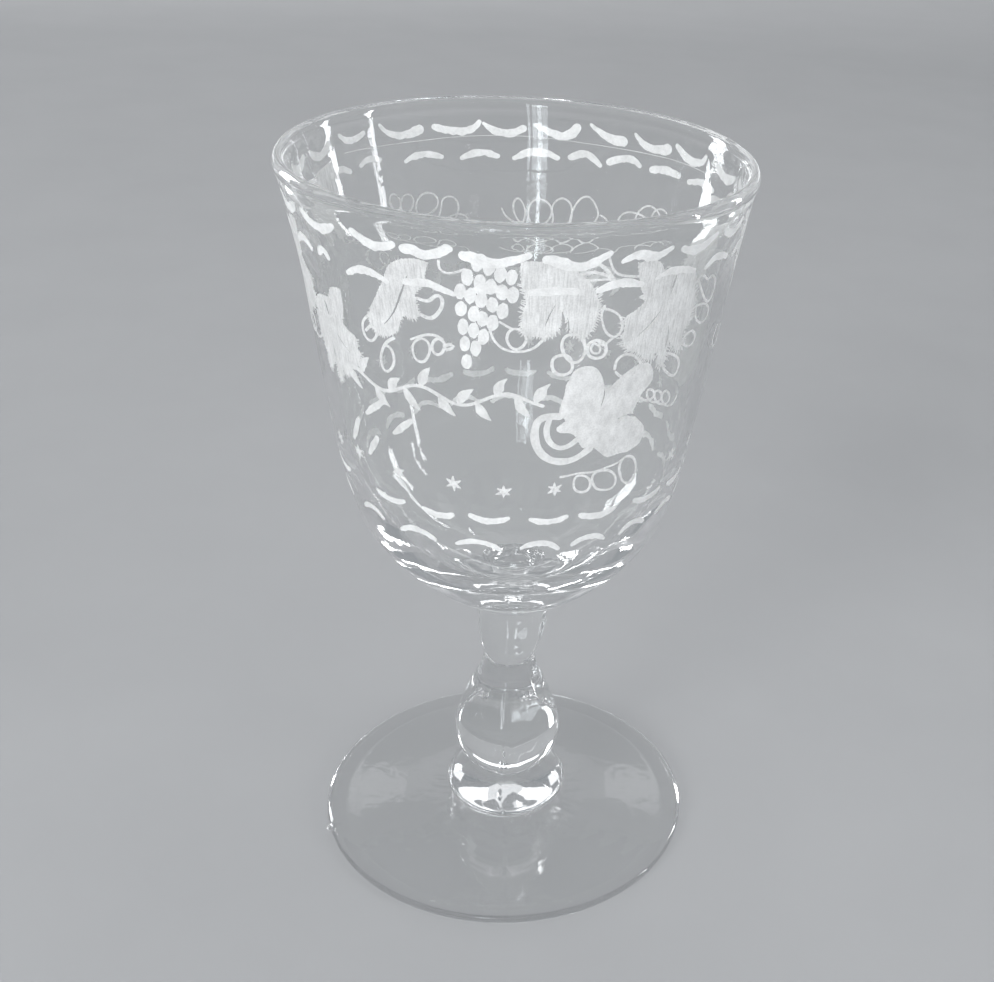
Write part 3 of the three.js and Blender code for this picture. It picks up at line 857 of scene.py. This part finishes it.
def bunch(at, seed, flip=1):
    """A hanging bunch of grapes, as oval cuts in staggered rows."""
    r = np.random.default_rng(seed)
    out = []
    for k, (a, z) in enumerate(GRAPES):
        u = arc(at) + flip * arc(a + 7.0)
        out.append(ellipse(u + r.uniform(-0.05, 0.05), z + r.uniform(-0.08, 0.08), 0.86 * r.uniform(0.94, 1.05), 1.45 * r.uniform(0.95, 1.04), -flip * (0.16 + r.uniform(-0.07, 0.07)), seed=seed + k))
    return out


grapes = bunch(-7.0, 40) + bunch(267.5, 80, -1) + bunch(76.0, 120, -1)

LINES = {
    "circle1": (0.42, [(-2.4, 125.1), (-1.9, 126.4), (-0.3, 127.0), (1.3, 126.4), (2.1, 125.2), (1.4, 123.9), (-0.2, 123.3), (-1.6, 123.8), (-2.5, 125.2)]),
    "arc1": (0.42, [(-6.5, 127.1), (-5.6, 125.1), (-3.9, 123.6), (-1.3, 122.9), (1.8, 123.0), (4.4, 123.8), (6.4, 125.4), (7.7, 126.4)]),
    "line1": (0.4, [(-4.0, 128.1), (-2.4, 127.4), (-1.0, 126.9)]),
    "oval1": (0.5, [(13.1, 125.9), (11.4, 125.6), (10.6, 124.2), (11.3, 122.4), (12.9, 121.0), (14.7, 120.7), (16.1, 121.6), (16.5, 123.2), (15.4, 124.9), (13.6, 125.9)]),
    "ring1": (0.5, [(19.3, 124.5), (17.5, 124.1), (17.0, 122.8), (17.9, 121.6), (19.8, 121.1), (21.6, 121.5), (21.9, 122.8), (20.9, 124.0), (19.3, 124.5)]),
    "ring1b": (0.4, [(18.6, 124.0), (17.9, 123.1), (18.6, 122.2), (20.1, 122.1), (20.2, 123.1), (18.8, 123.9)]),
    "loop1": (0.42, [(19.3, 130.3), (21.6, 129.8), (24.2, 128.6), (25.5, 126.7), (25.1, 125.3), (23.7, 124.7), (21.6, 125.6), (20.3, 127.3), (19.7, 129.2), (20.2, 130.6)]),
    "link1": (0.42, [(23.7, 124.7), (22.2, 123.9), (21.0, 123.4), (19.5, 124.3)]),
    "soft1": (0.55, [(10.8, 122.2), (8.9, 121.7), (8.6, 120.2), (9.7, 118.9), (11.7, 118.5), (13.4, 119.1), (13.5, 120.6), (12.1, 122.0), (10.3, 122.2)]),
    "oval2": (0.48, [(25.1, 118.6), (25.4, 120.2), (27.2, 121.0), (29.9, 120.6), (32.0, 119.4), (32.9, 118.2), (31.6, 117.2), (29.2, 116.8), (27.1, 117.0), (25.5, 118.0)]),
    "loop3": (0.45, [(39.7, 118.8), (40.7, 116.9), (43.3, 115.1), (46.1, 114.2), (47.4, 115.1), (47.1, 116.7), (44.3, 118.4), (41.0, 119.2), (39.7, 118.6)]),
    "stem1": (0.5, [(13.1, 136.3), (16.0, 136.8), (19.0, 136.3), (21.6, 135.3)]),
    "stem1b": (0.42, [(13.6, 135.6), (16.5, 135.4), (19.1, 135.4), (21.6, 135.2)]),
    "stem2": (0.55, [(17.9, 138.1), (19.4, 137.2), (21.6, 135.3)]),
    "stem3": (0.42, [(20.0, 139.1), (20.8, 137.6), (22.0, 136.4), (23.6, 135.8), (27.9, 135.2)]),
    "heart1": (0.45, [(47.8, 131.9), (49.6, 132.3), (52.2, 131.1), (53.7, 131.5), (56.5, 129.9), (57.1, 127.7), (55.4, 126.4), (50.8, 129.0), (48.0, 131.6)]),
    "right2": (0.42, [(49.6, 126.6), (52.8, 126.5), (56.6, 124.7), (56.2, 122.9), (53.0, 122.9), (50.1, 124.8), (49.6, 126.4)]),
    "right3": (0.42, [(50.2, 122.0), (47.8, 121.7), (47.0, 120.5), (49.5, 119.1), (52.1, 119.3), (52.4, 120.6), (50.2, 121.9)]),
    "curls": (0.45, [(35.0, 111.7), (37.3, 110.9), (39.3, 111.4), (38.5, 112.7), (36.7, 113.0), (37.1, 111.6), (39.8, 110.1), (42.4, 110.2), (41.8, 111.7), (39.8, 112.3), (39.9, 110.9), (42.8, 109.2), (45.8, 109.0), (46.0, 110.3), (43.5, 111.6), (42.7, 110.6), (45.1, 108.5), (48.3, 108.2), (49.6, 109.4)]),
    "hook": (0.62, [(-23.2, 130.6), (-20.5, 130.5), (-18.5, 131.6), (-17.4, 131.5), (-17.2, 130.2), (-18.5, 128.5), (-20.5, 127.4), (-22.8, 127.7)]),
    "top": (0.42, [(-17.1, 137.8), (-16.9, 136.4), (-15.5, 135.9), (-13.4, 136.2), (-11.4, 136.9)]),
    "circle2": (0.45, [(-23.4, 123.4), (-25.5, 122.3), (-26.0, 120.5), (-25.1, 119.2), (-23.4, 119.1), (-22.0, 120.2), (-21.3, 121.7), (-21.9, 123.1), (-23.5, 123.4)]),
    "ring2": (0.5, [(-19.0, 124.0), (-20.3, 123.1), (-20.7, 122.0), (-20.0, 121.0), (-18.7, 121.1), (-17.6, 122.2), (-17.5, 123.3), (-19.1, 124.0)]),
    "tail2": (0.5, [(-17.5, 122.7), (-16.3, 123.1), (-15.2, 123.0), (-16.1, 122.3), (-17.4, 122.2)]),
    "arc2": (0.42, [(-26.3, 122.8), (-24.1, 123.6), (-22.0, 124.2), (-20.0, 124.4), (-18.7, 124.2), (-17.8, 123.9)]),
    "left1": (0.5, [(-38.6, 125.0), (-40.7, 123.5), (-40.9, 121.4), (-39.4, 120.4), (-37.2, 121.2), (-36.5, 122.8), (-38.0, 123.2), (-40.0, 122.1)]),
    "left2": (0.5, [(-31.1, 122.3), (-33.4, 121.2), (-35.5, 119.0), (-36.0, 116.6), (-34.9, 115.5), (-32.8, 116.5), (-31.8, 118.5), (-32.7, 120.2), (-34.2, 120.5)]),
    "under2": (0.5, [(17.5, 96.5), (17.9, 98.0), (20.3, 98.0), (22.4, 96.7), (22.4, 95.0), (20.3, 94.5), (18.0, 95.4), (17.5, 96.6)]),
    "under3": (0.5, [(23.1, 96.4), (23.3, 98.0), (26.1, 98.5), (29.2, 97.7), (31.1, 95.9), (30.6, 94.3), (27.5, 94.1), (24.7, 94.9), (23.1, 96.6)]),
    "under4": (0.5, [(32.2, 96.8), (31.6, 98.8), (32.9, 100.2), (35.6, 99.8), (37.7, 97.9), (38.2, 95.7), (36.8, 94.2), (33.9, 95.0), (32.2, 97.0)]),
    "underline": (0.4, [(13.4, 98.3), (16.3, 98.5), (19.2, 98.7), (22.9, 98.5), (26.6, 98.9), (30.4, 99.4), (32.9, 100.2)]),
    "back_loops1": (0.34, [(222.2, 126.5), (221.8, 125.1), (220.6, 124.0), (218.8, 124.4), (218.2, 125.7), (219.0, 126.9), (220.6, 127.5), (221.8, 126.9), (221.2, 124.8), (219.0, 123.2), (216.1, 123.3), (214.3, 124.3), (213.7, 125.9), (214.9, 126.9), (216.9, 126.7), (218.2, 125.3), (217.8, 123.7), (215.9, 122.5), (212.9, 122.0), (210.2, 122.4), (207.5, 123.0), (205.7, 124.3), (205.9, 125.7), (207.7, 126.6), (210.3, 126.6), (212.4, 125.4), (213.0, 123.6), (211.9, 122.1), (209.3, 121.1), (206.4, 120.9)]),
    "back_loops2": (0.34, [(206.4, 120.9), (204.7, 123.4), (204.2, 124.9), (202.7, 125.6), (200.2, 125.2), (199.1, 123.5), (199.9, 121.6), (201.5, 120.4)]),
    "back_loops3": (0.34, [(208.4, 120.5), (205.1, 120.6), (202.4, 121.5), (199.8, 122.0), (197.3, 121.7), (195.8, 120.4), (195.5, 119.0)]),
    "back_stem": (0.38, [(185.5, 122.9), (184.6, 121.7), (183.0, 120.7), (180.9, 120.1), (178.7, 120.2)]),
    "back_l1": (0.38, [(178.7, 120.4), (178.2, 122.2), (179.2, 124.2), (180.7, 125.0), (181.9, 123.9), (181.5, 121.9), (180.2, 120.5), (178.4, 119.8), (176.2, 119.8)]),
    "back_l2": (0.38, [(176.2, 119.8), (177.2, 121.8), (176.7, 123.9), (174.6, 125.0), (171.9, 124.7), (170.2, 123.4), (170.4, 121.5), (172.2, 120.2), (174.6, 119.9), (176.2, 120.2)]),
    "back_l3": (0.38, [(173.0, 119.4), (170.5, 119.7), (169.4, 121.4), (169.9, 123.4), (168.8, 124.9), (166.7, 125.6), (164.4, 124.8), (163.6, 123.2), (164.0, 121.1), (166.1, 120.0), (169.3, 119.4)]),
    "back_l4": (0.38, [(163.9, 119.7), (163.8, 122.2), (162.8, 124.3), (160.8, 126.1), (158.4, 126.5), (156.3, 125.3), (155.0, 123.6), (156.0, 121.7), (159.1, 120.1), (162.2, 119.5)]),
    "back_line": (0.36, [(179.3, 120.3), (176.2, 119.4), (173.0, 119.1), (169.9, 119.3), (166.8, 119.9), (163.7, 121.2)]),
    "back_tail": (0.34, [(154.3, 123.3), (152.5, 122.9), (150.6, 121.5)]),
    "back_l5": (0.34, [(149.2, 119.6), (148.2, 121.4), (147.9, 123.2), (146.1, 124.7), (143.4, 125.2), (140.5, 125.2), (137.8, 124.7), (136.0, 123.9)]),
    "back_l6": (0.34, [(141.9, 122.2), (142.0, 124.0), (140.7, 126.0), (137.8, 127.3), (135.1, 127.1), (132.8, 126.1), (131.5, 124.7)]),
    "back_l7": (0.34, [(136.1, 124.3), (135.6, 126.2), (133.6, 127.3), (131.2, 127.3), (129.1, 126.1)]),
}

strokes = []
for i, (w, pts) in enumerate(LINES.values()):
    strokes += ribbon(flat_path(pts), w, seed=500 + i)
# tendrils round the sides and back
for k, (a, z, s, f) in enumerate([(103, 123, 1.0, 1), (128, 114, 1.1, -1), (222, 114, 1.1, 1), (247, 122, 1.0, -1), (285, 116, 1.0, 1), (80, 115, 1.0, -1), (146, 111, 1.0, 1), (204, 110, 1.0, -1), (296, 122, 0.9, 1)]):
    t = np.linspace(0, 1, 26)
    ang = 2.2 * 2 * math.pi * t
    rad = s * (0.9 + 1.6 * t)
    pts = np.stack([arc(a) + f * (rad * np.cos(ang) + 6.5 * s * t), z + rad * np.sin(ang) + 1.5 * t], 1)
    strokes += ribbon(pts, 0.42, seed=560 + k)

scrolls = [
    ribbon(flat_path([(11.6, 110.6), (8.4, 110.6), (6.3, 110.0), (5.4, 108.4), (5.5, 106.1), (6.8, 103.9), (9.5, 102.2), (13.3, 101.5), (17.3, 102.0), (20.8, 103.6)]), 1.35, seed=1),
    ribbon(flat_path([(8.9, 109.8), (8.4, 108.3), (8.8, 106.5), (10.2, 105.1), (12.5, 104.3), (14.9, 104.7), (16.9, 105.7)]), 0.95, seed=2),
]


# A plain sprig runs round the front where the border of leaves leaves room: a wavy stem with small blades.
def sprig(a0, a1, z0, seed):
    out = []
    r = np.random.default_rng(seed)
    t = np.linspace(0, 1, 22)
    u = arc(a0) + (arc(a1) - arc(a0)) * t
    z = z0 + 1.25 * np.sin(t * 2 * math.pi * 2.6 + 0.4) + 1.2 * t
    out += ribbon(np.stack([u, z], 1), 0.62, seed=seed, vary=0.2)
    n = int((a1 - a0) / 4.6)
    for i in range(n):
        k = (i + 0.6) / n
        x = np.interp(k, t, u)
        y = np.interp(k, t, z)
        side = 1 if i % 2 else -1
        ln = r.uniform(3.6, 4.6)
        ang = side * r.uniform(0.85, 1.15)
        tip = (x + ln * math.cos(ang), y + ln * math.sin(ang))
        mid = ((x + tip[0]) / 2 - 0.35 * side * math.sin(ang), (y + tip[1]) / 2 + 0.25 * side)
        out.append(blade([(x, y), mid, tip], [0.18, 0.62, 0.86, 0.74, 0.42, 0.12], seed + i))
    return out


sprigs = sprig(-52, 7, 112.6, 31) + sprig(140, 232, 109.0, 57)
slants = []
for i, (p, q) in enumerate([((-44.2, 105.6), (-37.2, 109.3)), ((-34.4, 103.7), (-28.3, 107.2)), ((-53.0, 98.5), (-48.4, 103.4)), ((-46.0, 97.1), (-41.2, 101.3))]):
    a, b = flat_path([p])[0], flat_path([q])[0]
    slants.append(blade([a, (a + b) / 2, b], [0.35, 0.62, 0.62, 0.5], 700 + i))


def star(a, z, size, seed):
    r = np.random.default_rng(seed)
    out = []
    for k in range(3):
        ang = math.radians(90 + 60 * k) + r.uniform(-0.12, 0.12)
        d = np.array([math.cos(ang), math.sin(ang)]) * size * r.uniform(0.85, 1.15)
        c = np.array([arc(a), z])
        out.append(blade([c - d, c, c + d], [0.1, 0.3, 0.42, 0.3, 0.1], seed + k))
    return out


stars = []
star_at = [-34.8, -16.8, -2.5, 12.0] + [55, 70, 85, 100, 115, 130, 145, 160, 175, 190, 205, 220, 235, 250, 265, 280, 295, 308]
for i, a in enumerate(star_at):
    stars += star(a, 95.8 + 0.4 * math.sin(i * 2.1), 1.35, 800 + 7 * i)

# one fine scratched line between the two upper borders
r = np.random.default_rng(9)
line_a = np.linspace(118, 236, 60)
line_z = 137.0 + 0.2 * np.sin(line_a * 0.11) + 0.06 * r.standard_normal(60).cumsum() * 0.3
scratch = ribbon(np.stack([np.radians(line_a) * REF, line_z], 1), 0.11, seed=3, step=1.0, vary=0.4, ends=False)

M_FROST = frost("engraved_frost", hatch=0.1, hatch_scale=(0.9, 0.5), grain=0.16, white=0.9)
M_BAND = frost("engraved_band", hatch=0.08, hatch_scale=(1.2, 1.2), grain=0.12, white=0.99)
M_HATCH = frost("engraved_hatch", hatch=0.2, hatch_scale=(3.6, 0.3), grain=0.18, white=0.91)
M_GRAPE = frost("engraved_grape", hatch=0.08, hatch_scale=(2.0, 0.6), grain=0.14, white=0.94)
M_LINE = frost("engraved_line", hatch=0.16, hatch_scale=(1.5, 1.5), grain=0.2, white=0.95)

film("engraved_leaves", grown["soft"], M_FROST, top=0.014, holes=grown["soft_vein"])
film("engraved_vine_leaves", grown["leaf"] + grown["barb"], M_HATCH, top=0.017, holes=grown["vein"])
film("engraved_grapes", grapes, M_GRAPE, top=0.020)
film("engraved_tendrils", strokes + stars + scratch, M_LINE, top=0.024)
film("engraved_sprigs", sprigs + slants + scrolls[0] + scrolls[1], M_FROST, top=0.027)
film("engraved_borders", bands, M_BAND, top=0.031)


# ---------------------------------------------------------------- stage and light
def make_stage():
    prof = [(0, 0), (0.05, 0), (0.2, 0), (0.6, 0), (1.2, 0), (1.8, 0)]
    for a in np.linspace(0, 90, 13)[1:]:
        prof.append((1.8 + 0.9 * math.sin(math.radians(a)), 0.9 - 0.9 * math.cos(math.radians(a))))
    prof += [(2.7, 1.6), (2.7, 2.6)]
    n = 96
    verts, faces = [(0, 0, 0)], []
    for r_, z_ in prof[1:]:
        verts += [(r_ * math.sin(2 * math.pi * i / n), -r_ * math.cos(2 * math.pi * i / n), z_) for i in range(n)]
    for i in range(n):
        faces.append((0, 1 + i, 1 + (i + 1) % n))
    for k in range(len(prof) - 2):
        a, b = 1 + k * n, 1 + (k + 1) * n
        for i in range(n):
            j = (i + 1) % n
            faces.append((a + i, b + i, b + j, a + j))
    me = bpy.data.meshes.new("studio_floor")
    me.from_pydata(verts, [], faces)
    me.polygons.foreach_set("use_smooth", [True] * len(faces))
    o = link("studio_floor", me)
    m, nodes, links = new_material("studio_paper")
    out = nodes.new("ShaderNodeOutputMaterial")
    p = nodes.new("ShaderNodeBsdfPrincipled")
    p.inputs["Specular IOR Level"].default_value = 0.15
    v = mm_coords(nodes, links)
    f = noise(nodes, links, v, 0.02, 3, 0.5)
    near = ramp(nodes, links, f, [(0.3, (0.362, 0.367, 0.376)), (0.7, (0.374, 0.379, 0.388))])
    # painted light: further out the floor and the cove wall are painted up to twice as light, to make up for the lamps'
    # light falling off with distance
    sep = nodes.new("ShaderNodeSeparateXYZ")
    links.new(v, sep.inputs[0])
    dx = math_node(nodes, links, "MULTIPLY", sep.outputs["X"], sep.outputs["X"])
    dy = math_node(nodes, links, "MULTIPLY", sep.outputs["Y"], sep.outputs["Y"])
    far = math_node(nodes, links, "SQRT", math_node(nodes, links, "ADD", dx, dy))
    far = math_node(nodes, links, "DIVIDE", far, 2700.0)
    away = ramp(nodes, links, far, [(0.33, 0.0), (0.85, 1.0)])
    painted_far_light = nodes.new("ShaderNodeMix")
    painted_far_light.data_type = "RGBA"
    painted_far_light.inputs[7].default_value = (0.74, 0.745, 0.755, 1)
    links.new(away, painted_far_light.inputs[0])
    links.new(near, painted_far_light.inputs[6])
    links.new(painted_far_light.outputs[2], p.inputs["Base Color"])
    p.inputs["Roughness"].default_value = 0.9
    links.new(p.outputs[0], out.inputs["Surface"])
    o.data.materials.append(m)


def area(name, at, look, size, watts, colour=(1, 1, 1), spread=180):
    d = bpy.data.lights.new(name, "AREA")
    d.shape = "RECTANGLE"
    d.size, d.size_y = size
    d.energy = watts
    d.color = colour
    d.spread = math.radians(spread)
    o = bpy.data.objects.new(name, d)
    coll.objects.link(o)
    o.location = at
    o.rotation_mode = "QUATERNION"
    o.rotation_quaternion = (Vector(look) - Vector(at)).to_track_quat("-Z", "Y")
    o.visible_camera = False
    return o


def around(az, el, dist, z=0.1):
    """A place seen from the glass: az degrees from the front towards +X."""
    a, e = math.radians(az), math.radians(el)
    return (dist * math.cos(e) * math.sin(a), -dist * math.cos(e) * math.cos(a), z + dist * math.sin(e))


make_stage()
AIM = (0, 0, 0.09)
for o in (
    area("top_soft", (0.15, 0.25, 1.3), (0.0, 0.05, 0), (0.7, 0.7), 3.8),
    area("key_soft", around(-38, 20, 1.7, 0.1), AIM, (0.7, 0.55), 29.0),
    area("fill_soft", around(58, 17, 1.7, 0.1), AIM, (0.6, 0.5), 15.5),
    area("back_soft", around(195, 25, 1.9, 0.1), AIM, (0.9, 0.6), 8.0),
):
    # these only light the ground glass and the floor, and leave no square reflection in the bowl
    o.visible_glossy = False
    o.visible_transmission = False
# a wide pale panel high behind, which the collar and the foot mirror, and a low one along the horizon
for i, (az, el, wide, high, watts) in enumerate([(180, 36.5, 0.86, 0.17, 0.22), (151.5, 37, 0.86, 0.17, 0.4), (208.5, 37, 0.86, 0.17, 0.4), (122, 46, 0.7, 0.2, 0.36), (237, 44, 0.7, 0.2, 0.36)]):
    o = area(f"back_panel_{i}", around(az, el, 1.75, 0.03), (0, 0, 0.03), (wide, high), watts, (0.97, 0.985, 1))
    o.visible_glossy = False
# these are only seen in the glass, and leave no pool of light on the floor beside them
for o in (
    area("back_low", around(180, 1.5, 1.7, 0.03), (0, 0, 0.04), (2.3, 0.16), 1.7, (0.97, 0.985, 1)),
    area("left_window", around(-128, 8, 1.0, 0.13), AIM, (0.2, 0.5), 3.6, (0.96, 0.98, 1)),
    area("right_strip", around(87, 5, 0.9, 0.13), AIM, (0.04, 0.5), 1.5, (0.97, 0.98, 1)),
    area("right_back_strip", around(119, 4, 1.0, 0.13), AIM, (0.08, 0.5), 1.9, (0.97, 0.98, 1)),
):
    o.visible_diffuse = False
for i, (az, wide, high, watts) in enumerate([(-11, 0.05, 0.42, 0.52), (-14.2, 0.055, 0.3, 0.2), (-8.0, 0.045, 0.36, 0.2), (-4.6, 0.025, 0.42, 0.14)]):
    area(f"front_window_{i}", around(az, 8, 1.0, 0.14), AIM, (wide, high), watts, (0.90, 0.96, 1))

world = bpy.data.worlds.new("world")
scene.world = world
world.use_nodes = True
world.node_tree.nodes["Background"].inputs[0].default_value = (0.8, 0.85, 0.9, 1)
world.node_tree.nodes["Background"].inputs[1].default_value = 0.36

c = scene.cycles
c.max_bounces = 14
c.transmission_bounces = 14
c.glossy_bounces = 14
c.diffuse_bounces = 2
c.transparent_max_bounces = 48
c.caustics_reflective = False
c.caustics_refractive = False
c.sample_clamp_indirect = 12
c.use_denoising = True
c.use_adaptive_sampling = True
c.adaptive_threshold = 0.04
scene.view_settings.view_transform = "Standard"
scene.view_settings.look = "None"
